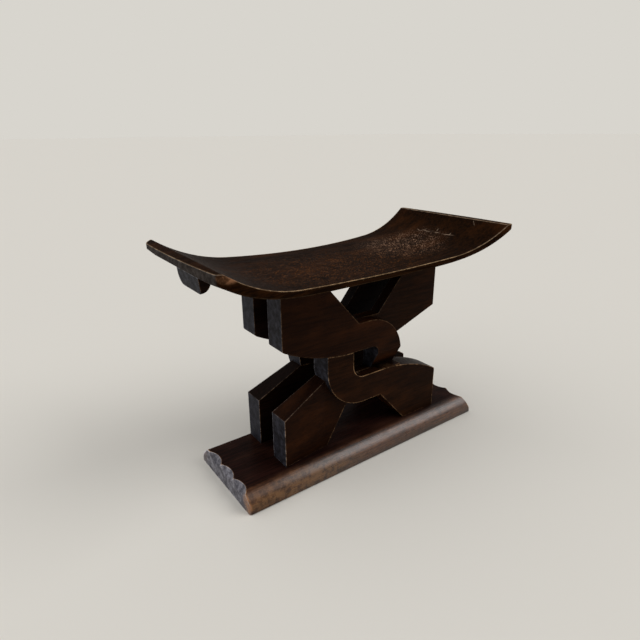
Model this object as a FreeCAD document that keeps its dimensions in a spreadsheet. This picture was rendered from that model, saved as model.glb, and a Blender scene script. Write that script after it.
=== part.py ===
import FreeCAD, Part
import math
import os
import Sketcher

# Carved stool in two knotted layers, millimetres, +Z up.
# X runs along the seat, Y from the front to the back.
# The origin is on the floor under the middle of the seat.

SIZES = {
    # Seat
    "seat_length": 560,
    "seat_width": 266,
    "seat_waist": 25,
    "seat_end_bow": 4,
    "seat_skew": 6,
    "seat_thickness": 18,
    "seat_middle_height": 344,
    "seat_flat_share": 0.536,
    "seat_flat_rise": 5.5,
    "seat_crest_rise": 48,
    "seat_lip_width": 13,
    "seat_left_lip_drop": 3.5,
    "seat_left_corner_round": 20,
    "seat_right_corner_round": 7,
    "seat_crest_round": 5,
    # Slopes that thin the seat's underside out to its long sides
    "slope_set_out": 6,
    "slope_rise": 9.5,
    "slope_left_rise": 4.5,
    # Base
    "base_length": 512,
    "base_width": 178,
    "base_height": 35,
    "base_shoulder": 28,
    "base_toe": 2,
    "base_back_run": 28,
    "base_back_radius": 75,
    "base_corner_round": 6,
    "base_right_lean": 15,
    "scoop_pitch": 44,
    "scoop_shift": 12,
    "scoop_radius": 42,
    "scoop_reach": 8,
    "scoop_drop": 12.5,
    # How far the base and the knot stand to the right of the seat's middle
    "base_shift": 19,
    "knot_shift": 16,
    # Layers of the knot
    "layer_gap": 44,
    "strap_thickness": 39,
    "knot_length": 340,
    "knot_middle_height": 177,
    "hole_height": 50,
    "band_width": 49,
    "knuckle_width": 54,
    "block_corner_round": 6,
    # Blocks, the ends of the straps that lie over
    "block_reach": 140,
    "block_flare": 36.5,
    "notch_run": 60,
    "notch_drop": 68,
    # Left strap, whose two ends are at the left
    "left_inner": 22,
    "left_inner_round": 12,
    "left_knuckle_radius": 74,
    "left_notch": 22,
    "left_end_drop": 57,
    "left_arm_run": 86,
    "left_arm_rise": 41,
    "left_under_run": 39,
    "left_slant_run": 41,
    "left_slant_drop": 68,
    "left_end_recess": 0.5,
    "left_root_recess": 11,
    # Right strap, whose two ends are at the right
    "right_inner": 32,
    "right_inner_round": 24,
    "right_knuckle_radius": 77,
    "right_notch": 31,
    "right_end_drop": 64,
    "right_arm_run": 86,
    "right_arm_rise": 34,
    "right_under_run": 36,
    "right_slant_run": 69,
    "right_slant_drop": 79,
    "right_end_recess": 15.5,
    "right_root_recess": 18.5,
    # The back layer's right arm leans in further than the front one
    "back_right_under_run": 19,
    "back_right_slant_run": 66,
    # Slope where the left strap turns under the right one
    "dip_height": 34,
    # Stub tenons of the straps
    "tenon_start": 115,
    "tenon_width": 35,
    "tenon_thickness": 13,
    "tenon_set_back": 6,
    "foot_tenon_length": 20,
    "head_tenon_cover": 6,
    "tenon_root": 14,
    # Lugs under the seat's ends
    "lug_set_in": 16,
    "lug_depth": 18,
    "lug_height": 25,
    "lug_width": 75,
    "lug_front_round": 5,
    "lug_back_round": 16,
    "lug_tenon_width": 40,
    "lug_tenon_thickness": 8,
    "lug_tenon_set_in": 6,
    "lug_tenon_length": 9,
    # Fits and cuts
    "fit_gap": 0.2,
    "overrun": 20,
}

doc = FreeCAD.newDocument("Stool")
sheet = doc.addObject("Spreadsheet::Sheet", "Sizes")
for row, (alias, length) in enumerate(SIZES.items(), start=1):
    sheet.set(f"A{row}", alias.replace("_", " "))
    sheet.set(f"B{row}", str(length))
    sheet.setAlias(f"B{row}", alias)
doc.recompute()


def size(name):
    return f"Sizes.{name}"


def value(formula):
    result = sheet.evalExpression(formula)
    return float(result.Value) if hasattr(result, "Value") else float(result)


# Seat's side view: a shallow middle arc, a tighter arc to the crest of each lip, then the lip.
# All are worked out from the rises and lengths.
FLAT_END = f"({size('seat_flat_share')} * {size('seat_length')} / 2)"
FLAT_RISE = size("seat_flat_rise")
CREST_END = f"({size('seat_length')} / 2 - {size('seat_lip_width')})"
FLAT_RADIUS = f"(({FLAT_END}^2 + {FLAT_RISE}^2) / (2 * {FLAT_RISE}))"
FLAT_TURN = f"(2 * atan({FLAT_RISE} / {FLAT_END}))"
CURL_RUN = f"({CREST_END} - {FLAT_END})"
CURL_RISE = f"({size('seat_crest_rise')} - {FLAT_RISE})"
CURL_HALF_TURN = f"(atan({CURL_RISE} / {CURL_RUN}) - {FLAT_TURN})"
CURL_RADIUS = f"(sqrt({CURL_RUN}^2 + {CURL_RISE}^2) / (2 * sin({CURL_HALF_TURN})))"
CURL_CENTRE_X = f"({FLAT_END} - {CURL_RADIUS} * sin({FLAT_TURN}))"
CURL_CENTRE_Z = (f"({size('seat_middle_height')} + {FLAT_RISE}"
                 f" + {CURL_RADIUS} * cos({FLAT_TURN}))")
UNDER_CURL_RADIUS = f"({CURL_RADIUS} + {size('seat_thickness')})"
UNDER_FLAT_RADIUS = f"({FLAT_RADIUS} + {size('seat_thickness')})"
UNDER_FLAT_END = f"({CURL_CENTRE_X} + {UNDER_CURL_RADIUS} * sin({FLAT_TURN}))"
UNDER_FLAT_Z = f"({CURL_CENTRE_Z} - {UNDER_CURL_RADIUS} * cos({FLAT_TURN}))"
UNDER_MIDDLE_Z = f"({size('seat_middle_height')} - {size('seat_thickness')})"


def under_seat(across):
    """Height of the seat's underside at a distance from the middle, past the flat stretch."""
    return f"({CURL_CENTRE_Z} - sqrt({UNDER_CURL_RADIUS}^2 - ({across} - {CURL_CENTRE_X})^2))"


def under_seat_middle(across):
    """Height of the seat's underside at a distance from the middle, within the flat stretch."""
    return (f"({UNDER_MIDDLE_Z} + {UNDER_FLAT_RADIUS}"
            f" - sqrt({UNDER_FLAT_RADIUS}^2 - ({across})^2))")


# Levels of the layers, seen from the front
INNER_FACE = f"({size('layer_gap')} / 2)"
OUTER_FACE = f"({INNER_FACE} + {size('strap_thickness')})"
LAP_DEPTH = f"({size('strap_thickness')} / 2)"
HOLE_HALF = f"({size('hole_height')} / 2)"
BAND_EDGE = f"({HOLE_HALF} + {size('band_width')})"
KNOT_HALF = f"({size('knot_length')} / 2)"
FOOT_DROP = f"({size('knot_middle_height')} - {size('base_height')})"
HEAD_RISE = f"({size('seat_middle_height')} - {size('knot_middle_height')})"
HEAD_TENON_TOP = f"({size('seat_middle_height')} - {size('head_tenon_cover')})"

# How near an edge must lie to a level to be taken as lying on it
TOLERANCE = value(f"{size('fit_gap')} / 2")


def plane_of(body, role):
    return next(plane for plane in body.Origin.OriginFeatures if plane.Role == role)


def new_body(name, shift="0"):
    """A body whose own origin is moved along X."""
    body = doc.addObject("PartDesign::Body", name)
    body.Label = name
    body.setExpression("Placement.Base.x", shift)
    return body


def new_sketch(body, name, role, offset="0", across="0"):
    """A sketch on one of the body's own origin planes, moved along its normal and across."""
    sketch = body.newObject("Sketcher::SketchObject", f"{body.Name}_{name}")
    sketch.AttachmentSupport = [(plane_of(body, role), "")]
    sketch.MapMode = "FlatFace"
    sketch.setExpression("AttachmentOffset.Base.z", offset)
    sketch.setExpression("AttachmentOffset.Base.x", across)
    return sketch


def pin(sketch, kind, formula, *where):
    """A constraint that takes its value from the sheet."""
    index = sketch.addConstraint(Sketcher.Constraint(kind, *where, value(formula)))
    sketch.setExpression(f"Constraints[{index}]", formula)


def arc_between(start, end, radius, turn):
    """The arc of under half a circle from start to end; turn is 1 to the left, -1 to the right."""
    middle = (start + end) * 0.5
    chord = end - start
    to_centre = math.sqrt(max(radius ** 2 - (chord.Length / 2) ** 2, 0))
    left = FreeCAD.Vector(-chord.y, chord.x, 0).normalize()
    centre = middle + left * (turn * to_centre)
    first, last = (start, end) if turn > 0 else (end, start)
    angles = [math.atan2(point.y - centre.y, point.x - centre.x) for point in (first, last)]
    circle = Part.Circle(centre, FreeCAD.Vector(0, 0, 1), radius)
    return Part.ArcOfCircle(circle, angles[0], angles[1])


def draw_outline(sketch, corners):
    """Close an outline. A corner is (across, up), with (radius, turn) where an arc leaves it."""
    points = [FreeCAD.Vector(value(corner[0]), value(corner[1]), 0) for corner in corners]
    ends = []
    for place, corner in enumerate(corners):
        start = points[place]
        end = points[(place + 1) % len(points)]
        if len(corner) == 2:
            edge = sketch.addGeometry(Part.LineSegment(start, end))
            ends.append((edge, 1, 2))
            continue
        radius, turn = corner[2:]
        edge = sketch.addGeometry(arc_between(start, end, value(radius), turn))
        ends.append((edge, 1, 2) if turn > 0 else (edge, 2, 1))
        pin(sketch, "Radius", radius, edge)
    for place, (edge, start, end) in enumerate(ends):
        following = ends[(place + 1) % len(ends)]
        sketch.addConstraint(Sketcher.Constraint("Coincident", edge, end, following[0], following[1]))
        pin(sketch, "DistanceX", corners[place][0], edge, start)
        pin(sketch, "DistanceY", corners[place][1], edge, start)


def draw_rectangle(sketch, left, right, bottom, top):
    draw_outline(sketch, [(left, bottom), (right, bottom), (right, top), (left, top)])


def extrude(body, kind, name, sketch, length=None, reverse=False, both_ways=False):
    """A pad or pocket of the sketch; with no length it goes through everything."""
    feature = body.newObject(f"PartDesign::{kind}", f"{body.Name}_{name}")
    feature.Profile = sketch
    feature.Reversed = reverse
    if both_ways:
        feature.SideType = "Symmetric"
    if length is None:
        feature.Type = "ThroughAll"
    else:
        feature.setExpression("Length", length)
    doc.recompute()
    return feature


def check_change(body, before, grows):
    """Each pad must add material and each pocket must remove some."""
    change = body.Shape.Volume - before
    if (change > 0) != grows or abs(change) < 1:
        raise RuntimeError(f"{body.Label}: a feature changed the volume by {change:.2f}")


def pad(body, name, sketch, length, reverse=False, both_ways=False):
    before = body.Shape.Volume if body.Tip else 0
    extrude(body, "Pad", name, sketch, length, reverse, both_ways)
    check_change(body, before, True)


def pocket(body, name, sketch, length=None, reverse=False, both_ways=False):
    before = body.Shape.Volume
    extrude(body, "Pocket", name, sketch, length, reverse, both_ways)
    check_change(body, before, False)


def round_edges(body, name, radius, wanted):
    """Round the edges of the body for which wanted(edge) is true."""
    before = body.Tip
    names = [f"Edge{place}" for place, edge in enumerate(before.Shape.Edges, start=1) if wanted(edge)]
    if not names:
        raise RuntimeError(f"{body.Label}: no edge to round for {name}")
    feature = body.newObject("PartDesign::Fillet", f"{body.Name}_{name}")
    feature.Base = (before, names)
    feature.setExpression("Radius", radius)
    doc.recompute()
    if not feature.Shape.isValid() or "Invalid" in feature.State:
        raise RuntimeError(f"{body.Label}: {name} failed on {len(names)} edges")


def lies_on(edge, axis, level):
    """True where the whole edge lies at one level of an axis."""
    box = edge.BoundBox
    low, high = {"x": (box.XMin, box.XMax), "y": (box.YMin, box.YMax), "z": (box.ZMin, box.ZMax)}[axis]
    return abs(low - level) < TOLERANCE and abs(high - level) < TOLERANCE


def tenon_span(hand):
    """Where a strap's tenon lies along X, on the left (-1) or the right (1)."""
    near = f"({hand} * {size('tenon_start')})"
    far = f"({hand} * ({size('tenon_start')} + {size('tenon_width')}))"
    return (far, near) if hand < 0 else (near, far)


def grown(low, high, margin):
    return f"({low} - {margin})", f"({high} + {margin})"


def block_half(side, hand, head):
    """Outline of a strap from the middle of the knot round its block, the end that lies over."""
    def point(across, up, *arc):
        return (f"({hand} * ({across}))", f"({size('knot_middle_height')} + {hand} * ({up}))", *arc)

    inner = size(f"{side}_inner")
    inner_round = size(f"{side}_inner_round")
    radius = size(f"{side}_knuckle_radius")
    outer = f"({inner} + {size('knuckle_width')})"
    reach = size("block_reach")
    flare = size("block_flare")
    flare_radius = f"(({reach}^2 + {flare}^2) / (2 * {flare}))"
    notch = size(f"{side}_notch")
    head_x = f"({notch} + {size('notch_run')} * ({head} - {BAND_EDGE}) / {size('notch_drop')})"
    return [
        point(inner, "0"),
        point(inner, f"{HOLE_HALF} - {inner_round}", inner_round, 1),
        point(f"{inner} - {inner_round}", HOLE_HALF),
        point(f"{reach} - {KNOT_HALF}", HOLE_HALF, flare_radius, -1),
        point(f"-{KNOT_HALF}", f"{HOLE_HALF} + {flare}"),
        point(f"-{KNOT_HALF}", head),
        point(f"-{head_x}", head),
        point(f"-{notch}", BAND_EDGE),
        point(f"{outer} - {radius}", BAND_EDGE, radius, -1),
        point(outer, f"{BAND_EDGE} - {radius}"),
    ]


def arm_half(side, hand, head, slant):
    """Outline of a strap from the middle of the knot round its arm, the end that lies under."""
    def point(across, up, *arc):
        return (f"({hand} * ({across}))", f"({size('knot_middle_height')} + {hand} * ({up}))", *arc)

    inner = size(f"{side}_inner")
    width = size("knuckle_width")
    band = size("band_width")
    run = size(f"{side}_arm_run")
    rise = size(f"{side}_arm_rise")
    end_drop = size(f"{side}_end_drop")
    under_run = size(f"{slant}_under_run")
    slant_run = size(f"{slant}_slant_run")
    slant_drop = size(f"{side}_slant_drop")
    head_x = f"({under_run} + {slant_run} * ({head} - {BAND_EDGE}) / {slant_drop})"
    other = "right" if side == "left" else "left"
    covered = f"({size(other + '_inner')} - {size(other + '_inner_round')})"
    return [
        point(f"{inner} + {width}", f"-{HOLE_HALF}", band, -1),
        point(f"{inner} + {width} - {band}", f"-{BAND_EDGE}"),
        point(f"-{under_run}", f"-{BAND_EDGE}"),
        point(f"-{head_x}", f"-{head}"),
        point(f"-{KNOT_HALF}", f"-{head}"),
        point(f"-{KNOT_HALF}", f"-{end_drop}"),
        point(f"{run} - {KNOT_HALF}", f"{rise} - {end_drop}"),
        point(f"-{covered}", f"-{HOLE_HALF}"),
        point(inner, f"-{HOLE_HALF}"),
    ]


def make_strap(name, side, hand, slants=None):
    """One front strap. The left strap's hand is 1; the right one is the same turned half round.

    slants names the sizes that give each arm's inner edge, where they aren't the strap's own.
    """
    body = new_body(name, size("knot_shift"))
    slants = slants or {"left": "left", "right": "right"}
    other = "right" if side == "left" else "left"
    heads = (HEAD_RISE, FOOT_DROP) if hand > 0 else (FOOT_DROP, HEAD_RISE)

    outline = new_sketch(body, "outline", "XZ_Plane", INNER_FACE)
    arm_outline = arm_half(side, hand, heads[1], slants[side])
    draw_outline(outline, block_half(side, hand, heads[0]) + arm_outline)
    pad(body, "thickness", outline, size("strap_thickness"))

    # Where the other strap lies over this one, and where this one lies over the other
    over = new_sketch(body, "lap_front", "XZ_Plane", OUTER_FACE)
    draw_outline(over, block_half(other, -hand, heads[1]))
    pocket(body, "lap_front_cut", over, LAP_DEPTH)
    under = new_sketch(body, "lap_back", "XZ_Plane", INNER_FACE)
    draw_outline(under, arm_half(other, -hand, heads[0], slants[other]))
    pocket(body, "lap_back_cut", under, LAP_DEPTH, reverse=True)

    # The arm's front face falls back towards the crossing
    far = f"(-{hand} * ({KNOT_HALF} + {size('overrun')}))"
    end = f"(-{hand} * {KNOT_HALF})"
    root = f"(-{hand} * ({KNOT_HALF} - {size(side + '_arm_run')}))"
    end_face = f"-({OUTER_FACE} - {size(side + '_end_recess')})"
    root_face = f"-({OUTER_FACE} - {size(side + '_root_recess')})"
    clear = f"-({OUTER_FACE} + {size('overrun')})"
    arm = new_sketch(body, "arm_face", "XY_Plane", size("knot_middle_height"))
    draw_outline(arm, [("0", clear), (far, clear), (far, end_face), (end, end_face),
                       (root, root_face), ("0", root_face)])
    pocket(body, "arm_face_cut", arm, reverse=hand < 0)

    if side == "left":
        # The knuckle dips before it turns under the right strap
        lap_top = f"({size('knot_middle_height')} - {HOLE_HALF})"
        dip_top = f"({lap_top} + {size('dip_height')})"
        dip = new_sketch(body, "dip", "YZ_Plane")
        draw_outline(dip, [(clear, dip_top), (f"-{OUTER_FACE}", dip_top),
                           (f"-({OUTER_FACE} - {LAP_DEPTH})", lap_top), (clear, lap_top)])
        pocket(body, "dip_cut", dip, reverse=True)

    # The head fits the curve of the seat's underside
    top = f"({size('seat_middle_height')} + {size('overrun')})"
    last = f"({KNOT_HALF} + {size('knot_shift')} + {size('overrun')})"
    head = new_sketch(body, "head", "XZ_Plane", INNER_FACE, f"-{size('knot_shift')}")
    draw_outline(head, [("0", UNDER_MIDDLE_Z, UNDER_FLAT_RADIUS, -hand),
                        (f"-{hand} * {UNDER_FLAT_END}", UNDER_FLAT_Z, UNDER_CURL_RADIUS, -hand),
                        (f"-{hand} * {last}", under_seat(last)),
                        (f"-{hand} * {last}", top), ("0", top)])
    pocket(body, "head_cut", head, size("strap_thickness"), reverse=True)

    # Stub tenons at the head and the foot
    left, right = tenon_span(-hand)
    inner_cheek = f"-({INNER_FACE} + {size('tenon_set_back')})"
    outer_cheek = f"({inner_cheek} - {size('tenon_thickness')})"
    root_level = f"({UNDER_MIDDLE_Z} - {size('tenon_root')})"
    head_tenon = new_sketch(body, "head_tenon", "XY_Plane", root_level)
    draw_rectangle(head_tenon, left, right, outer_cheek, inner_cheek)
    pad(body, "head_tenon_pad", head_tenon, f"{HEAD_TENON_TOP} - {root_level}")
    foot_tenon = new_sketch(body, "foot_tenon", "XY_Plane", size("base_height"))
    draw_rectangle(foot_tenon, left, right, outer_cheek, inner_cheek)
    pad(body, "foot_tenon_pad", foot_tenon, size("foot_tenon_length"), reverse=True)

    block_end = value(end)
    block_corner = value(f"{size('knot_middle_height')} + {hand} * ({HOLE_HALF} + {size('block_flare')})")
    round_edges(body, "block_corner", size("block_corner_round"),
                lambda edge: lies_on(edge, "x", block_end) and lies_on(edge, "z", block_corner))
    return body


def mirror_to_back(source, name):
    """A strap of the back layer is a front one's mirror image across the plane between them."""
    mirror = doc.addObject("Part::Mirroring", name)
    mirror.Label = name
    mirror.Source = source
    mirror.Normal = FreeCAD.Vector(0, 1, 0)
    doc.recompute()
    return mirror


def cut_mortises(body, name, level, depth, reverse, spans):
    """Mortises with the fit gap all round; a span is (left, right, front, back)."""
    sketch = new_sketch(body, name, "XY_Plane", level)
    for left, right, front, back in spans:
        left, right = grown(left, right, size("fit_gap"))
        front, back = grown(front, back, size("fit_gap"))
        draw_rectangle(sketch, left, right, front, back)
    pocket(body, f"{name}_cut", sketch, depth, reverse=reverse)


def strap_tenon_spans(shift):
    """The places of the straps' tenons, with the knot's middle at the shift along X."""
    near = f"({INNER_FACE} + {size('tenon_set_back')})"
    far = f"({near} + {size('tenon_thickness')})"
    spans = []
    for hand in (-1, 1):
        left, right = (f"({shift} + {end})" for end in tenon_span(hand))
        spans.append((left, right, f"-{far}", f"-{near}"))
        spans.append((left, right, near, far))
    return spans


def make_base():
    body = new_body("base", size("base_shift"))
    half = f"({size('base_width')} / 2)"
    shoulder = size("base_shoulder")
    height = size("base_height")
    toe = size("base_toe")
    section = new_sketch(body, "section", "YZ_Plane")
    draw_outline(section, [
        (f"-({half} - {toe})", "0"), (f"{half} - {toe}", "0"),
        (half, toe, size("base_back_radius"), 1),
        (f"{half} - {size('base_back_run')}", height),
        (f"-({half} - {shoulder})", height, shoulder, 1),
        (f"-{half}", f"{height} - {shoulder}"), (f"-{half}", toe),
    ])
    pad(body, "length", section, size("base_length"), both_ways=True)

    # The plan's four corners are rounded
    end = f"({size('base_length')} / 2)"
    corner = size("base_corner_round")
    inner_x = f"({end} - {corner})"
    inner_y = f"({half} - {corner})"
    plan = new_sketch(body, "plan", "XY_Plane")
    edge_x = f"({end} + {size('overrun')})"
    edge_y = f"({half} + {size('overrun')})"
    draw_rectangle(plan, f"-{edge_x}", edge_x, f"-{edge_y}", edge_y)
    draw_outline(plan, [
        (f"-{inner_x}", f"-{half}"), (inner_x, f"-{half}", corner, 1),
        (end, f"-{inner_y}"), (end, inner_y, corner, 1),
        (inner_x, half), (f"-{inner_x}", half, corner, 1),
        (f"-{end}", inner_y), (f"-{end}", f"-{inner_y}", corner, 1),
    ])
    pocket(body, "plan_cut", plan, reverse=True)

    # The right end leans in towards its top
    lean = size("base_right_lean")
    end_view = new_sketch(body, "end_view", "XZ_Plane")
    draw_outline(end_view, [(end, "0"), (f"{end} + {lean}", "0"), (f"{end} + {lean}", height),
                            (f"{end} - {lean}", height)])
    pocket(body, "lean_cut", end_view, both_ways=True)

    # Three gouged scoops across each end, sloping down from the top to the end face
    drop = size("scoop_drop")
    radius = size("scoop_radius")
    along = f"2 * {size('overrun')}"
    for hand, set_in in ((-1, "0"), (1, lean)):
        run = f"({size('scoop_reach')} + {set_in} * {drop} / {height})"
        slope = f"atan({run} / {drop})"
        floor_x = f"({end} - {set_in} - {size('scoop_reach')} + {run} / 2)"
        floor_z = f"({height} - {drop} / 2)"
        for place in (-1, 0, 1):
            scoop = body.newObject("PartDesign::SubtractiveCylinder", f"scoop_{hand + 1}_{place + 1}")
            tilt = FreeCAD.Rotation(FreeCAD.Vector(0, 1, 0), 1)
            scoop.Placement = FreeCAD.Placement(FreeCAD.Vector(), tilt)
            scoop.setExpression("Radius", radius)
            scoop.setExpression("Height", f"4 * {size('overrun')}")
            scoop.setExpression("Placement.Rotation.Angle", f"-{hand} * {slope}")
            scoop.setExpression(
                "Placement.Base.x",
                f"{hand} * ({floor_x} + {radius} * cos({slope}) + {along} * sin({slope}))")
            scoop.setExpression(
                "Placement.Base.z",
                f"{floor_z} + {radius} * sin({slope}) - {along} * cos({slope})")
            scoop.setExpression("Placement.Base.y",
                                f"{place} * {size('scoop_pitch')} - {size('scoop_shift')}")
            doc.recompute()

    depth = f"{size('foot_tenon_length')} + {size('fit_gap')}"
    spans = strap_tenon_spans(f"({size('knot_shift')} - {size('base_shift')})")
    cut_mortises(body, "mortises", height, depth, False, spans)
    return body


def lug_tenon_span(hand):
    """The place of a lug's tenon: left, right, front, back."""
    outer = f"({size('seat_length')} / 2 - {size('lug_set_in')} - {size('lug_tenon_set_in')})"
    inner = f"({outer} - {size('lug_tenon_thickness')})"
    half = f"({size('lug_tenon_width')} / 2)"
    if hand < 0:
        return f"-{outer}", f"-{inner}", f"-{half}", half
    return inner, outer, f"-{half}", half


LUG_OUTER = f"({size('seat_length')} / 2 - {size('lug_set_in')})"
LUG_INNER = f"({LUG_OUTER} - {size('lug_depth')})"
LUG_TENON_TOP = f"({under_seat(LUG_INNER)} + {size('lug_tenon_length')})"


def make_lug(name, hand):
    body = new_body(name)
    toe = f"({size('lug_depth')} / 6)"
    low = f"({under_seat(LUG_OUTER)} - {size('lug_height')})"
    profile = new_sketch(body, "profile", "XZ_Plane")
    draw_outline(profile, [
        (f"{hand} * {LUG_INNER}", under_seat(LUG_INNER), UNDER_CURL_RADIUS, hand),
        (f"{hand} * {LUG_OUTER}", under_seat(LUG_OUTER)),
        (f"{hand} * ({LUG_OUTER} - {toe})", low, size("lug_depth"), -hand),
    ])
    pad(body, "width", profile, size("lug_width"), both_ways=True)
    half = f"({size('lug_width')} / 2)"
    front_round = size("lug_front_round")
    back_round = size("lug_back_round")
    clear = size("overrun")
    front_view = new_sketch(body, "front_view", "YZ_Plane")
    draw_rectangle(front_view, f"-({half} + {clear})", f"{half} + {clear}",
                   f"{low} - {clear}", f"{low} + 2 * {clear}")
    draw_outline(front_view, [
        (f"-({half} - {front_round})", low), (f"{half} - {back_round}", low, back_round, 1),
        (half, f"{low} + {back_round}"), (half, f"{low} + {clear} + {clear} / 2"),
        (f"-{half}", f"{low} + {clear} + {clear} / 2"),
        (f"-{half}", f"{low} + {front_round}", front_round, 1),
    ])
    pocket(body, "corners_cut", front_view, reverse=hand > 0)
    left, right, front, back = lug_tenon_span(hand)
    level = f"({under_seat(LUG_INNER)} - {size('lug_tenon_length')} / 2)"
    tenon = new_sketch(body, "tenon", "XY_Plane", level)
    draw_rectangle(tenon, left, right, front, back)
    pad(body, "tenon_pad", tenon, f"{LUG_TENON_TOP} - {level}")
    return body


# Seat's plan: the long sides are drawn in at the middle and the ends bow out.
# The plan is skewed, so that its front edge lies further to the right than its back edge.
SEAT_END = f"({size('seat_length')} / 2)"
SEAT_HALF = f"({size('seat_width')} / 2)"
SEAT_CORNER = f"({SEAT_END} - {size('seat_end_bow')})"
SEAT_LEAN = f"({size('seat_skew')} / 2)"
SIDE_RADIUS = f"(({SEAT_CORNER}^2 + {size('seat_waist')}^2) / (2 * {size('seat_waist')}))"
END_HALF_CHORD = f"sqrt({SEAT_HALF}^2 + {SEAT_LEAN}^2)"
END_RADIUS = f"(({END_HALF_CHORD}^2 + {size('seat_end_bow')}^2) / (2 * {size('seat_end_bow')}))"


def seat_side(across):
    """How far a long side lies from the seat's middle line, at a distance from its own middle."""
    return (f"({SEAT_HALF} - {size('seat_waist')} + {SIDE_RADIUS}"
            f" - sqrt({SIDE_RADIUS}^2 - ({across})^2))")


def seat_end_at(hand, up):
    """Where an end of the seat's plan, left (-1) or right (1), lies along X at a place on Y."""
    to_centre = f"(({END_RADIUS} - {size('seat_end_bow')}) / {END_HALF_CHORD})"
    centre_x = f"({hand} * ({SEAT_CORNER} - {to_centre} * {SEAT_HALF}))"
    centre_y = f"(-{hand} * {to_centre} * {SEAT_LEAN})"
    return f"({centre_x} + {hand} * sqrt({END_RADIUS}^2 - (({up}) - {centre_y})^2))"


def slope_section(body, side, place, across):
    """Section of the cut that thins the seat out to a long side, at a distance along the seat.

    The cut's sloping line starts beside the straps and ends on the seat's side, with a quarter
    of its length more at each end.
    """
    flat = value(across) ** 2 < value(UNDER_FLAT_END) ** 2
    under = under_seat_middle(across) if flat else under_seat(f"abs({across})")
    inner = f"({OUTER_FACE} + {size('slope_set_out')})"
    run = f"({seat_side(f'{across} + {side} * {SEAT_LEAN}')} - {inner})"
    rise = size("slope_rise")
    if value(across) < 0:
        rise = f"({rise} - ({rise} - {size('slope_left_rise')}) * ({across} / {SEAT_END})^2)"
    start = (f"{side} * ({inner} - {run} / 4)", f"{under} - {rise} / 4")
    stop = (f"{side} * ({inner} + 5 * {run} / 4)", f"{under} + 5 * {rise} / 4")
    section = new_sketch(body, f"slope_{side + 1}_{place}", "YZ_Plane", across)
    draw_outline(section, [start, (stop[0], start[1]), stop])
    return section


def cut_slopes(body):
    """The seat thins out from the straps to its long sides, less so at the left end."""
    stations = 8
    reach = f"({SEAT_END} + {size('overrun')} / 2)"
    for side in (-1, 1):
        sections = [
            slope_section(body, side, place, f"({reach} * {2 * place / stations - 1})")
            for place in range(stations + 1)
        ]
        before = body.Shape.Volume
        cut = body.newObject("PartDesign::SubtractiveLoft", f"{body.Name}_slope_cut_{side + 1}")
        cut.Profile = sections[0]
        cut.Sections = sections[1:]
        doc.recompute()
        check_change(body, before, False)


def make_seat():
    body = new_body("seat")
    middle = size("seat_middle_height")
    crest_z = f"({middle} + {size('seat_crest_rise')})"
    flat_z = f"({middle} + {FLAT_RISE})"
    reach = f"({SEAT_END} + {SEAT_LEAN})"
    side_view = new_sketch(body, "side_view", "XZ_Plane")
    draw_outline(side_view, [
        (f"-{reach}", under_seat(reach), UNDER_CURL_RADIUS, 1),
        (f"-{UNDER_FLAT_END}", UNDER_FLAT_Z, UNDER_FLAT_RADIUS, 1),
        (UNDER_FLAT_END, UNDER_FLAT_Z, UNDER_CURL_RADIUS, 1),
        (reach, under_seat(reach)),
        (reach, crest_z),
        (CREST_END, crest_z, CURL_RADIUS, -1),
        (FLAT_END, flat_z, FLAT_RADIUS, -1),
        (f"-{FLAT_END}", flat_z, CURL_RADIUS, -1),
        (f"-{CREST_END}", crest_z),
        (f"-{reach}", f"{crest_z} - {size('seat_left_lip_drop')}"),
    ])
    pad(body, "width", side_view, size("seat_width"), both_ways=True)

    plan = new_sketch(body, "plan", "XY_Plane")
    edge_x = f"({SEAT_END} + {size('overrun')})"
    edge_y = f"({SEAT_HALF} + {size('overrun')})"
    draw_rectangle(plan, f"-{edge_x}", edge_x, f"-{edge_y}", edge_y)
    draw_outline(plan, [
        (f"{SEAT_LEAN} - {SEAT_CORNER}", f"-{SEAT_HALF}", SIDE_RADIUS, -1),
        (f"{SEAT_LEAN} + {SEAT_CORNER}", f"-{SEAT_HALF}", END_RADIUS, 1),
        (f"{SEAT_CORNER} - {SEAT_LEAN}", SEAT_HALF, SIDE_RADIUS, -1),
        (f"-{SEAT_CORNER} - {SEAT_LEAN}", SEAT_HALF, END_RADIUS, 1),
    ])
    pocket(body, "plan_cut", plan, reverse=True)

    crest_x = value(CREST_END)
    side_y = value(SEAT_HALF) - value(size("seat_waist"))
    round_edges(body, "crests", size("seat_crest_round"),
                lambda edge: lies_on(edge, "x", math.copysign(crest_x, edge.BoundBox.XMin))
                and edge.Length > side_y)
    cut_slopes(body)

    # The four corners of the plan, rounded between a side and an end
    corners = new_sketch(body, "corners", "XY_Plane")
    for hand, name in ((-1, "seat_left_corner_round"), (1, "seat_right_corner_round")):
        rounding = size(name)
        start = f"({SEAT_CORNER} - {rounding})"
        for along in (-1, 1):
            start_x = f"({hand} * {start} - {along} * {SEAT_LEAN})"
            stop_y = f"({along} * ({SEAT_HALF} - {rounding}))"
            draw_outline(corners, [
                (start_x, f"{along} * {seat_side(start)}", rounding, -hand * along),
                (seat_end_at(hand, stop_y), stop_y),
                (f"{hand} * {edge_x}", stop_y),
                (f"{hand} * {edge_x}", f"{along} * {edge_y}"),
                (start_x, f"{along} * {edge_y}"),
            ])
    pocket(body, "corners_cut", corners, reverse=True)

    below = f"({UNDER_MIDDLE_Z} - {size('overrun')})"
    depth = f"{HEAD_TENON_TOP} + {size('fit_gap')} - {below}"
    spans = strap_tenon_spans(size("knot_shift"))
    cut_mortises(body, "mortises", below, depth, True, spans)
    depth = f"{LUG_TENON_TOP} + {size('fit_gap')} - {below}"
    cut_mortises(body, "lug_mortises", below, depth, True, [lug_tenon_span(-1), lug_tenon_span(1)])
    return body


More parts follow.
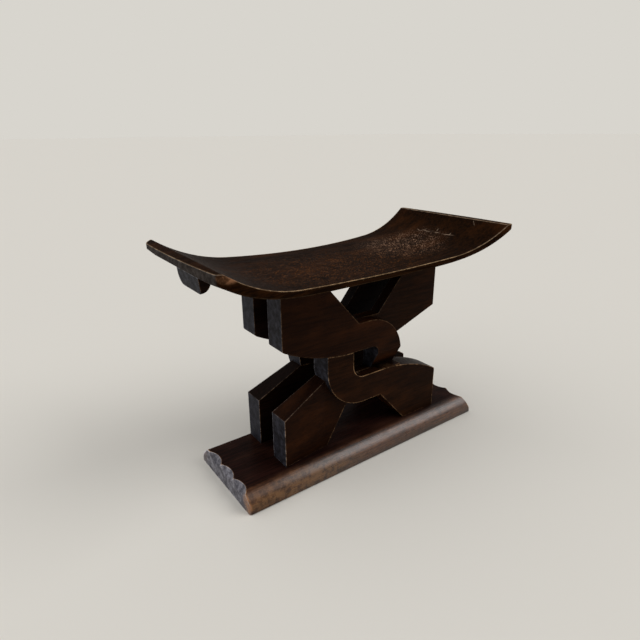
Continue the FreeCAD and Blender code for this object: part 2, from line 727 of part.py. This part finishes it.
front_left = make_strap("front_left_strap", "left", 1)
front_right = make_strap("front_right_strap", "right", -1)
BACK_SLANTS = {"left": "left", "right": "back_right"}
back_left_form = make_strap("back_left_form", "left", 1, BACK_SLANTS)
back_right_form = make_strap("back_right_form", "right", -1, BACK_SLANTS)
pieces = [
    make_seat(),
    make_base(),
    front_left,
    front_right,
    mirror_to_back(back_left_form, "back_left_strap"),
    mirror_to_back(back_right_form, "back_right_strap"),
    make_lug("left_seat_lug", -1),
    make_lug("right_seat_lug", 1),
]
doc.recompute()

for member in doc.Objects:
    if "Invalid" in member.State or "Error" in member.State:
        raise RuntimeError(f"{member.Name} failed: {member.State}")
for piece in pieces:
    if piece.Shape.isNull() or not piece.Shape.isValid() or len(piece.Shape.Solids) != 1:
        raise RuntimeError(f"{piece.Label} is not one valid solid")

os.makedirs("parts", exist_ok=True)
for piece in pieces:
    piece.Shape.exportStep(f"parts/{piece.Label}.step")
    box = piece.Shape.BoundBox
    print(f"{piece.Label}: {piece.Shape.Volume / 1000:.1f} cm3,"
          f" x {box.XMin:.1f} to {box.XMax:.1f}, y {box.YMin:.1f} to {box.YMax:.1f},"
          f" z {box.ZMin:.1f} to {box.ZMax:.1f}")
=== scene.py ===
import math

import bmesh
import bpy
from mathutils import Matrix, Vector

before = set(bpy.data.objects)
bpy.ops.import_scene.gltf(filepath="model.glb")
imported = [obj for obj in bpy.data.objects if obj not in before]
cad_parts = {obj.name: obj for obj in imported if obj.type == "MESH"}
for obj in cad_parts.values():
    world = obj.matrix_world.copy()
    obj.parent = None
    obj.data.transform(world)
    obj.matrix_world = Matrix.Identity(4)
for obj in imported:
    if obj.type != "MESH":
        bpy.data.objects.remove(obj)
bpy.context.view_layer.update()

# Real sizes of patterns in the wood, in millimetres: length along the grain and width
STREAKS = (85.0, 3.2)
STAIN_CLOUDS = (120.0, 46.0)
TOOL_RIPPLES = (38.0, 24.0)
# Real pores are about 0.2 mm wide and real flecks about 0.5 mm, too fine to show in the render,
# so both are drawn as coarse as they need to show
PORES = (16.0, 1.1)
FLECKS = (3.4, 1.5)

# Wear and painted shade, in millimetres: how wide a rubbed patch is, how far the stain is rubbed
# off an edge, how round an edge looks, over what distance open air is judged, and how far the
# painted shade in hollows reaches
RUB_PATCH = 11.0
RUBBED_EDGE = 1.8
WELL_RUBBED_EDGE = 2.6
SOFTENED_EDGE = 1.5
OPEN_AIR = 22.0
PAINTED_SHADE_REACH = 60.0

# Where a noise or a tilt starts to count and where it counts in full
BLOOM_AND_REFLECTION_PATCHES = (0.38, 0.72)
UPPER_FACES = (0.2, 0.5)
FLECK_CLUSTERS = (0.40, 0.58)
FLECK_OUTLINES = (0.55, 0.63)
UNEVEN_RUBBING = (0.40, 0.64)
BROKEN_PATCHES = (0.38, 0.58)
PORE_DULLNESS = (0.3, 0.7)

# Shares of open air at an edge, in reach of a hand, and where the painted shade in hollows is
# deepest and where it ends
AT_EDGE = (0.58, 0.95)
IN_REACH = (0.46, 0.74)
PAINTED_SHADE_RANGE = (0.12, 0.60)

# Places on the stool in metres: X of the seat's right crest, Y where the base's flat top ends,
# how wide its shoulder's bare wood sets in, Z over which the shoulder turns darker towards the
# floor, X where its wax gets thicker, and Z of the tops of the legs and of the right blocks
SEAT_CREST = 0.267
CREST_LINE_WIDTH = 0.0018
BASE_FLAT = 0.061
SHOULDER_SETS_IN = 0.018
DARKER_TOWARDS_FLOOR = (0.004, 0.022)
THIN_WAX = (-0.20, -0.05)
LEG_TOP = 0.085
BLOCK_TOP = 0.165
KNOCKS_FADE = 0.06

# Wax and wood: refraction, shine of the shoulder, and what pores and bare wood do to roughness
WAX_IOR = 1.5
SHOULDER_SHINE = 0.70
SMOOTH_GRAIN, ROUGH_PORES, BARE_WOOD = -0.09, 0.12, 0.16
PORE_COLOUR = "#080504"


def per_metre(millimetres):
    """Pattern scale on Object coordinates, which are in metres."""
    return 1000.0 / millimetres


def linear(hex_colour):
    """An sRGB hex colour as opaque linear RGBA."""
    parts = [int(hex_colour[i:i + 2], 16) / 255 for i in (1, 3, 5)]
    turned = [c / 12.92 if c <= 0.04045 else ((c + 0.055) / 1.055) ** 2.4 for c in parts]
    return (*turned, 1.0)


def add(tree, kind, links=None, **settings):
    """Adds a node. links gives each input a socket to be linked from or a plain value."""
    node = tree.nodes.new(kind)
    for name, setting in settings.items():
        setattr(node, name, setting)
    for name, source in (links or {}).items():
        if isinstance(source, bpy.types.NodeSocket):
            tree.links.new(source, node.inputs[name])
        else:
            node.inputs[name].default_value = source
    return node


def new_material(name):
    material = bpy.data.materials.new(name)
    material.use_nodes = True
    material.node_tree.nodes.clear()
    return material, material.node_tree


# Inputs and output of a Mix node that mixes colours
FACTOR, FIRST, SECOND = 0, 6, 7
MIXED_COLOUR = 2


def grown_pattern(tree, place, sizes, shift, **noise):
    """Noise drawn out along the grain, which runs along X in every piece."""
    length, width = sizes
    drawn = add(tree, "ShaderNodeMapping", {
        "Vector": place, "Location": shift,
        "Scale": (per_metre(length), per_metre(width), per_metre(width)),
    })
    fineness = {"Vector": drawn.outputs["Vector"], "Scale": 1.0, **noise}
    return add(tree, "ShaderNodeTexNoise", fineness).outputs["Fac"]


def spot(tree, place, centre, reach, turn=0.0):
    """One inside the middle of an ellipsoid turned about Z, falling to nought at its skin."""
    moved = add(tree, "ShaderNodeVectorMath", {0: place, 1: centre}, operation="SUBTRACT")
    turned = add(tree, "ShaderNodeMapping", {
        "Vector": moved.outputs["Vector"], "Rotation": (0, 0, -turn),
    })
    near = add(tree, "ShaderNodeVectorMath", {0: turned.outputs["Vector"], 1: reach},
               operation="DIVIDE")
    far = add(tree, "ShaderNodeVectorMath", {0: near.outputs["Vector"]}, operation="LENGTH")
    return add(tree, "ShaderNodeMapRange", {
        "Value": far.outputs["Value"], "From Min": 0.25, "From Max": 1.0,
        "To Min": 1.0, "To Max": 0.0,
    }, interpolation_type="SMOOTHSTEP").outputs["Result"]


def stained_wood(name, dark, mid, light, shift, rubbed="#9c7350", rubbed_end="#aaa8ae",
                 rough=0.42, shine=0.026, edge_wear=0.9, end_grain_and_reflection="#1f1f23",
                 end_reach=(0.80, 0.96), bloom_and_reflection="#3b3b43", flecked=(), bare=(), worn_line=None,
                 shoulder=None, knocked_below=None, worn_tilt=(-0.30, -0.02),
                 edge_width=RUBBED_EDGE, edge_least=0.08):
    """Carved hardwood, stained near black, waxed and rubbed by hands.

    The eye sees dark streaks along the grain, clouds in the stain, a satin sheen that shows
    slight tool ripples, greyer end grain that is partly a painted reflection, and pale wood where
    the stain has gone from the edges.
    dark, mid, light: the stain. rubbed, rubbed_end: wood rubbed bare on faces and on end grain.
    end_reach: how far a face is turned to the grain's end when it starts and when it is end
    grain. bloom: dried wax on it, with a painted reflection. flecked: places with their strength
    and colour, bare: the same with a turn, also used for painted sheen. edge_wear, edge_least:
    most and least rubbing of an edge, where over 1 rubs more of its width bare. worn_tilt: how far
    up an edge has to face to be rubbed. knocked_below: the height up to which the edges are rubbed
    in full.
    """
    material, tree = new_material(name)
    coordinates = add(tree, "ShaderNodeTexCoord")
    place = coordinates.outputs["Object"]
    axes = add(tree, "ShaderNodeSeparateXYZ", {"Vector": place})

    streaks = grown_pattern(tree, place, STREAKS, shift, Detail=5.0, Roughness=0.62,
                            Distortion=0.35)
    pores = grown_pattern(tree, place, PORES, shift, Detail=2.0, Roughness=0.5)
    clouds = grown_pattern(tree, place, STAIN_CLOUDS, shift, Detail=3.0, Roughness=0.55)
    ripples = grown_pattern(tree, place, TOOL_RIPPLES, shift, Detail=1.0, Roughness=0.4)
    flecks = grown_pattern(tree, place, FLECKS, shift, Detail=3.0, Roughness=0.6)
    rubbing = add(tree, "ShaderNodeTexNoise", {
        "Vector": place, "Scale": per_metre(RUB_PATCH), "Detail": 4.0, "Roughness": 0.7,
    }).outputs["Fac"]

    # Stain from dark to light, with black pores, and greyer end grain that is partly a painted
    # reflection
    facing = add(tree, "ShaderNodeSeparateXYZ", {"Vector": coordinates.outputs["Normal"]})
    endways = add(tree, "ShaderNodeMath", {0: facing.outputs["X"]}, operation="ABSOLUTE").outputs[0]
    colour = linear(dark)
    for pattern, low, high, most, tone in (
            (streaks, 0.36, 0.66, 1.0, mid),
            (clouds, 0.46, 0.78, 0.75, light),
            (endways, *end_reach, 0.85, end_grain_and_reflection),
            (pores, 0.56, 0.70, 0.6, PORE_COLOUR)):
        part = add(tree, "ShaderNodeMapRange", {
            "Value": pattern, "From Min": low, "From Max": high, "To Max": most,
        }, interpolation_type="SMOOTHSTEP")
        colour = add(tree, "ShaderNodeMix", {
            FACTOR: part.outputs["Result"], FIRST: colour, SECOND: linear(tone),
        }, data_type="RGBA").outputs[MIXED_COLOUR]

    # Dried wax and a painted reflection show grey in patches on the end grain
    on_end = add(tree, "ShaderNodeMapRange", {
        "Value": endways, "From Min": end_reach[0], "From Max": end_reach[1],
    })
    patches = add(tree, "ShaderNodeMapRange", {
        "Value": rubbing, "From Min": BLOOM_AND_REFLECTION_PATCHES[0], "From Max": BLOOM_AND_REFLECTION_PATCHES[1], "To Max": 0.9,
    }, interpolation_type="SMOOTHSTEP")
    bloom_and_reflection_share = add(tree, "ShaderNodeMath", {0: on_end.outputs["Result"], 1: patches.outputs["Result"]},
                operation="MULTIPLY")
    colour = add(tree, "ShaderNodeMix", {
        FACTOR: bloom_and_reflection_share.outputs[0], FIRST: colour, SECOND: linear(bloom_and_reflection),
    }, data_type="RGBA").outputs[MIXED_COLOUR]

    # The rounded shoulder of the base has lost most of its stain
    if shoulder:
        across = add(tree, "ShaderNodeMath", {0: axes.outputs["Y"]}, operation="ABSOLUTE")
        shown = add(tree, "ShaderNodeMapRange", {
            "Value": across.outputs[0], "From Min": BASE_FLAT,
            "From Max": BASE_FLAT + SHOULDER_SETS_IN,
        }, interpolation_type="SMOOTHSTEP").outputs["Result"]
        # Its wax is worn thin towards the left end
        waxed = add(tree, "ShaderNodeMapRange", {
            "Value": axes.outputs["X"], "From Min": THIN_WAX[0], "From Max": THIN_WAX[1],
            "To Min": 0.3,
        })
        polished = add(tree, "ShaderNodeMath", {0: shown, 1: waxed.outputs["Result"]},
                       operation="MULTIPLY")
        shine = add(tree, "ShaderNodeMapRange", {
            "Value": polished.outputs[0], "To Min": shine, "To Max": SHOULDER_SHINE,
        }).outputs["Result"]
        # The bare colour is broken up by the grain and noise, and drawn darker towards the floor
        for pattern, low, high, least in (
                (streaks, 0.36, 0.62, 0.25),
                (rubbing, 0.38, 0.60, 0.40),
                (clouds, 0.38, 0.58, 0.50),
                (axes.outputs["Z"], *DARKER_TOWARDS_FLOOR, 0.35)):
            part = add(tree, "ShaderNodeMapRange", {
                "Value": pattern, "From Min": low, "From Max": high, "To Min": least,
            })
            shown = add(tree, "ShaderNodeMath", {0: shown, 1: part.outputs["Result"]},
                        operation="MULTIPLY").outputs[0]
        colour = add(tree, "ShaderNodeMix", {
            FACTOR: shown, FIRST: colour, SECOND: linear(shoulder),
        }, data_type="RGBA").outputs[MIXED_COLOUR]

    # Stain rubbed off in flecks on upper faces, most at the middle of each place
    above = add(tree, "ShaderNodeMapRange", {
        "Value": facing.outputs["Z"], "From Min": UPPER_FACES[0], "From Max": UPPER_FACES[1],
    }).outputs["Result"]
    clusters = add(tree, "ShaderNodeMapRange", {
        "Value": rubbing, "From Min": FLECK_CLUSTERS[0], "From Max": FLECK_CLUSTERS[1],
        "To Min": 0.15,
    }, interpolation_type="SMOOTHSTEP").outputs["Result"]
    for centre, reach, most, tone in flecked:
        rubbed_off = add(tree, "ShaderNodeMapRange", {
            "Value": flecks, "From Min": FLECK_OUTLINES[0], "From Max": FLECK_OUTLINES[1],
            "To Max": most,
        }, interpolation_type="SMOOTHSTEP").outputs["Result"]
        for limit in (spot(tree, place, centre, reach), clusters, above):
            rubbed_off = add(tree, "ShaderNodeMath", {0: rubbed_off, 1: limit},
                             operation="MULTIPLY").outputs[0]
        colour = add(tree, "ShaderNodeMix", {
            FACTOR: rubbed_off, FIRST: colour, SECOND: linear(tone),
        }, data_type="RGBA").outputs[MIXED_COLOUR]

    # Pale wood along outward edges that a hand or cloth can reach, least on the undersides
    softened = add(tree, "ShaderNodeBevel", {"Radius": SOFTENED_EDGE / 1000}, samples=6)
    tilt = add(tree, "ShaderNodeSeparateXYZ", {"Vector": softened.outputs["Normal"]})
    upward = add(tree, "ShaderNodeMapRange", {
        "Value": tilt.outputs["Z"], "From Min": worn_tilt[0], "From Max": worn_tilt[1],
        "To Min": 0.06,
    })
    inward = add(tree, "ShaderNodeAmbientOcclusion", {"Distance": edge_width / 1000},
                 samples=12, inside=True, only_local=True)
    edge = add(tree, "ShaderNodeMapRange", {
        "Value": inward.outputs["AO"], "From Min": AT_EDGE[0], "From Max": AT_EDGE[1],
        "To Min": 1.0, "To Max": 0.0,
    }, interpolation_type="SMOOTHSTEP")
    uneven = add(tree, "ShaderNodeMapRange", {
        "Value": rubbing, "From Min": UNEVEN_RUBBING[0], "From Max": UNEVEN_RUBBING[1],
        "To Min": edge_least, "To Max": edge_wear,
    }, interpolation_type="SMOOTHSTEP")
    worn = add(tree, "ShaderNodeMath", {0: edge.outputs["Result"], 1: uneven.outputs["Result"]},
               operation="MULTIPLY").outputs[0]
    around = add(tree, "ShaderNodeAmbientOcclusion", {"Distance": OPEN_AIR / 1000}, samples=6)
    within_reach = add(tree, "ShaderNodeMapRange", {
        "Value": around.outputs["AO"], "From Min": IN_REACH[0], "From Max": IN_REACH[1],
    })
    for limit in (within_reach, upward):
        worn = add(tree, "ShaderNodeMath", {0: worn, 1: limit.outputs["Result"]},
                   operation="MULTIPLY").outputs[0]
    if knocked_below:
        low_down = add(tree, "ShaderNodeMapRange", {
            "Value": axes.outputs["Z"], "From Min": knocked_below,
            "From Max": knocked_below + KNOCKS_FADE, "To Min": 1.0, "To Max": 0.3,
        })
        worn = add(tree, "ShaderNodeMath", {0: worn, 1: low_down.outputs["Result"]},
                   operation="MULTIPLY").outputs[0]
    if worn_line:
        gap = add(tree, "ShaderNodeMath", {0: axes.outputs["X"], 1: worn_line},
                  operation="SUBTRACT")
        gap = add(tree, "ShaderNodeMath", {0: gap.outputs[0]}, operation="ABSOLUTE")
        line = add(tree, "ShaderNodeMapRange", {
            "Value": gap.outputs[0], "From Max": CREST_LINE_WIDTH, "To Min": 0.7, "To Max": 0.0,
        }, interpolation_type="SMOOTHSTEP").outputs["Result"]
        for limit in (uneven.outputs["Result"], above):
            line = add(tree, "ShaderNodeMath", {0: line, 1: limit},
                       operation="MULTIPLY").outputs[0]
        worn = add(tree, "ShaderNodeMath", {0: worn, 1: line}, operation="MAXIMUM").outputs[0]
    pale = add(tree, "ShaderNodeMix", {
        FACTOR: endways, FIRST: linear(rubbed), SECOND: linear(rubbed_end),
    }, data_type="RGBA").outputs[MIXED_COLOUR]
    colour = add(tree, "ShaderNodeMix", {
        FACTOR: worn, FIRST: colour, SECOND: pale,
    }, data_type="RGBA").outputs[MIXED_COLOUR]

    # Places worn or scratched bare, and patches of painted sheen
    for centre, reach, turn, most, tone in bare:
        broken = add(tree, "ShaderNodeMapRange", {
            "Value": rubbing, "From Min": BROKEN_PATCHES[0], "From Max": BROKEN_PATCHES[1],
            "To Min": most * 0.2, "To Max": most,
        }, interpolation_type="SMOOTHSTEP")
        here = add(tree, "ShaderNodeMath", {
            0: spot(tree, place, centre, reach, turn), 1: broken.outputs["Result"],
        }, operation="MULTIPLY")
        colour = add(tree, "ShaderNodeMix", {
            FACTOR: here.outputs[0], FIRST: colour, SECOND: linear(tone),
        }, data_type="RGBA").outputs[MIXED_COLOUR]

    # Painted shade darkens the hollows and the places between parts
    painted_shade_ao = add(tree, "ShaderNodeAmbientOcclusion", {"Distance": PAINTED_SHADE_REACH / 1000}, samples=8)
    painted_shade_share = add(tree, "ShaderNodeMapRange", {
        "Value": painted_shade_ao.outputs["AO"], "From Min": PAINTED_SHADE_RANGE[0],
        "From Max": PAINTED_SHADE_RANGE[1], "To Min": 0.12,
    })
    painted_shade = add(tree, "ShaderNodeVectorMath", {
        0: colour, "Scale": painted_shade_share.outputs["Result"],
    }, operation="SCALE")
    colour = painted_shade.outputs["Vector"]

    # The wax is duller in the grain and where the wood is bare
    dull = add(tree, "ShaderNodeMapRange", {
        "Value": pores, "From Min": PORE_DULLNESS[0], "From Max": PORE_DULLNESS[1],
        "To Min": rough + SMOOTH_GRAIN, "To Max": rough + ROUGH_PORES,
    })
    dull = add(tree, "ShaderNodeMath", {0: worn, 1: BARE_WOOD, 2: dull.outputs["Result"]},
               operation="MULTIPLY_ADD")

    # Slight relief: each pattern's depth in millimetres, its strength, and if it is sunk
    relief = softened.outputs["Normal"]
    for height, depth, strength, sunk in (
            (ripples, 0.9, 0.55, False),
            (streaks, 0.30, 0.5, False),
            (pores, 0.22, 0.7, True)):
        relief = add(tree, "ShaderNodeBump", {
            "Height": height, "Distance": depth / 1000, "Strength": strength, "Normal": relief,
        }, invert=sunk).outputs["Normal"]

    surface = add(tree, "ShaderNodeBsdfPrincipled", {
        "Base Color": colour, "Roughness": dull.outputs[0], "Normal": relief,
        "IOR": WAX_IOR, "Specular IOR Level": shine,
    })
    add(tree, "ShaderNodeOutputMaterial", {"Surface": surface.outputs["BSDF"]})
    return material


# Scratches on the right of the seat's top: middle, half sizes along, across and up, turn from X.
# Real ones are hairlines, too fine to show in the render, so these are drawn about 2 mm wide.
SCRATCHES = [
    ((0.2190, 0.0110, 0.365), (0.0120, 0.0011, 0.02), 1.52),
    ((0.2205, -0.0110, 0.366), (0.0110, 0.0010, 0.02), 1.60),
    ((0.2204, -0.0384, 0.366), (0.0175, 0.0011, 0.02), 1.67),
    ((0.2197, 0.0225, 0.366), (0.0120, 0.0010, 0.02), -0.74),
    ((0.2211, 0.0040, 0.366), (0.0100, 0.0009, 0.02), -1.08),
    ((0.2270, -0.0072, 0.369), (0.0070, 0.0009, 0.02), 0.27),
    ((0.2178, 0.0307, 0.365), (0.0105, 0.0009, 0.02), 1.21),
    ((0.2233, -0.0412, 0.367), (0.0050, 0.0009, 0.02), 0.27),
    ((0.2588, -0.0642, 0.386), (0.0090, 0.0009, 0.02), 0.83),
]
# Other places worn bare, and a painted sheen on the base's shoulder, in the same terms
BASE_PAINTED_SHEEN = ((-0.150, -0.094, 0.018), (0.180, 0.034, 0.030), 0.0)
SEAT_CORNER = ((-0.266, -0.129, 0.386), (0.024, 0.016, 0.008), 0.0)
BASE_CORNER = ((-0.237, -0.084, 0.016), (0.006, 0.022, 0.026), 0.0)

WOOD = {
    "seat": stained_wood(
        "waxed_stained_hardwood_seat", "#0f0602", "#251306", "#3b1f0a", (3.1, 1.7, 0.4),
        rubbed="#c4a077", rubbed_end="#8d8884", rough=0.48, shine=0.008, edge_wear=1.0,
        end_grain_and_reflection="#292523", end_reach=(0.88, 0.97), bloom_and_reflection="#46403d",
        flecked=[((0.145, 0.004, 0.35), (0.105, 0.095, 0.10), 0.85, "#c9a084"),
                 ((-0.03, -0.03, 0.345), (0.27, 0.13, 0.10), 0.80, "#7a4a24")],
        bare=[(*SEAT_CORNER, 0.85, "#94684a")]
        + [(*scratch, 0.85, "#9c8672") for scratch in SCRATCHES],
        worn_line=SEAT_CREST, worn_tilt=(0.05, 0.30), edge_width=WELL_RUBBED_EDGE,
        edge_least=0.35),
    "base": stained_wood(
        "waxed_stained_hardwood_base", "#150a07", "#26130f", "#3b2319", (7.7, 4.2, 2.9),
        rubbed="#a27c58", rubbed_end="#e2e0e6", rough=0.32, shine=0.025, edge_wear=1.8,
        end_grain_and_reflection="#58575e", end_reach=(0.55, 0.85), bloom_and_reflection="#9a98a0",
        # The first patch is a painted sheen in lighter brown on the left of the shoulder
        bare=[(*BASE_PAINTED_SHEEN, 0.50, "#86623f"), (*BASE_CORNER, 0.9, "#9c6c45")],
        shoulder="#6f4a31", edge_width=WELL_RUBBED_EDGE, edge_least=0.6),
    "front_left_strap": stained_wood(
        "waxed_stained_hardwood_front_left", "#160803", "#210f05", "#381c0a", (1.3, 6.4, 5.0),
        rubbed="#b28b64", knocked_below=LEG_TOP),
    "front_right_strap": stained_wood(
        "waxed_stained_hardwood_front_right", "#160903", "#231106", "#3a1e0a", (5.9, 2.2, 8.1),
        rubbed="#b28b64", knocked_below=BLOCK_TOP),
    "back_left_strap": stained_wood(
        "waxed_stained_hardwood_back_left", "#0f0603", "#1b0d08", "#2c180d", (9.4, 3.8, 1.2),
        rubbed="#b28b64", end_grain_and_reflection="#28282d", knocked_below=LEG_TOP),
    "back_right_strap": stained_wood(
        "waxed_stained_hardwood_back_right", "#0f0603", "#1b0d08", "#2c180d", (2.6, 8.5, 6.3),
        rubbed="#b28b64", end_grain_and_reflection="#28282d", knocked_below=BLOCK_TOP),
    "left_seat_lug": stained_wood(
        "waxed_stained_hardwood_left_lug", "#120805", "#1d100a", "#2e1c11", (4.5, 5.1, 3.3)),
    "right_seat_lug": stained_wood(
        "waxed_stained_hardwood_right_lug", "#120805", "#1d100a", "#2e1c11", (8.8, 0.9, 7.6)),
}

for name, material in WOOD.items():
    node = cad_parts[name]
    node.data.materials.clear()
    node.data.materials.append(material)


# Half a side of the ground in metres, far enough for its edge to lie at the horizon
GROUND_HALF_SIDE = 60.0
GROUND_COLOUR = "#e0dcd4"
BACKDROP_COLOUR = "#d8d5ce"
SURROUNDING_LIGHT = 0.38


def ground_plane():
    """Plain matt ground under the stool."""
    shape = bmesh.new()
    bmesh.ops.create_grid(shape, x_segments=1, y_segments=1, size=GROUND_HALF_SIDE)
    mesh = bpy.data.meshes.new("floor")
    shape.to_mesh(mesh)
    shape.free()
    material, tree = new_material("plain_pale_floor")
    matt = add(tree, "ShaderNodeBsdfDiffuse", {"Color": linear(GROUND_COLOUR)})
    add(tree, "ShaderNodeOutputMaterial", {"Surface": matt.outputs["BSDF"]})
    mesh.materials.append(material)
    floor = bpy.data.objects.new("floor", mesh)
    bpy.context.scene.collection.objects.link(floor)


ground_plane()


def studio_world():
    """Even pale surroundings for the camera, and a dim even light."""
    world = bpy.data.worlds.new("studio")
    world.use_nodes = True
    tree = world.node_tree
    tree.nodes.clear()
    ray = add(tree, "ShaderNodeLightPath")
    backdrop = add(tree, "ShaderNodeBackground", {
        "Color": linear(BACKDROP_COLOUR), "Strength": 1.0,
    })
    light = add(tree, "ShaderNodeBackground", {
        "Color": linear("#ffffff"), "Strength": SURROUNDING_LIGHT,
    })
    both = add(tree, "ShaderNodeMixShader", {
        0: ray.outputs["Is Camera Ray"], 1: light.outputs[0], 2: backdrop.outputs[0],
    })
    add(tree, "ShaderNodeOutputWorld", {"Surface": both.outputs[0]})
    bpy.context.scene.world = world


studio_world()


def soft_light(name, towards, spread, share):
    """Wide daylight from one side.

    towards points from the stool to the light, spread is the light's width in degrees, and
    share is what it gives a white surface that faces it.
    """
    lamp = bpy.data.lights.new(name, "SUN")
    lamp.angle = math.radians(spread)
    lamp.energy = share * math.pi
    holder = bpy.data.objects.new(name, lamp)
    holder.rotation_euler = Vector(towards).to_track_quat("Z", "Y").to_euler()
    bpy.context.scene.collection.objects.link(holder)


soft_light("right_window", (0.55, -0.50, 0.67), 44, 0.40)
soft_light("left_window", (-0.62, 0.15, 0.77), 80, 0.34)


# The camera of the photo: place in metres, turns in degrees, reach and side in pixels, sensor in mm
CAMERA_PLACE = (-0.5007, -0.6408, 0.5457)
CAMERA_YAW, CAMERA_PITCH, CAMERA_ROLL = 35.643, 20.746, -0.459
CAMERA_REACH = 499.6
FRAME_SIDE = 640
SENSOR = 36.0


def photo_camera():
    yaw, pitch, roll = (math.radians(a) for a in (CAMERA_YAW, CAMERA_PITCH, CAMERA_ROLL))
    ahead = Vector((
        math.sin(yaw) * math.cos(pitch), math.cos(yaw) * math.cos(pitch), -math.sin(pitch)))
    right = ahead.cross(Vector((0, 0, 1))).normalized()
    up = right.cross(ahead)
    right_turned = right * math.cos(roll) + up * math.sin(roll)
    up_turned = up * math.cos(roll) - right * math.sin(roll)
    lens = bpy.data.cameras.new("camera")
    lens.sensor_width = SENSOR
    lens.lens = CAMERA_REACH * SENSOR / FRAME_SIDE
    camera = bpy.data.objects.new("camera", lens)
    turned = Matrix((right_turned, up_turned, -ahead)).transposed().to_4x4()
    camera.matrix_world = Matrix.Translation(CAMERA_PLACE) @ turned
    bpy.context.scene.collection.objects.link(camera)
    bpy.context.scene.camera = camera


photo_camera()

bpy.context.scene.view_settings.view_transform = "Standard"
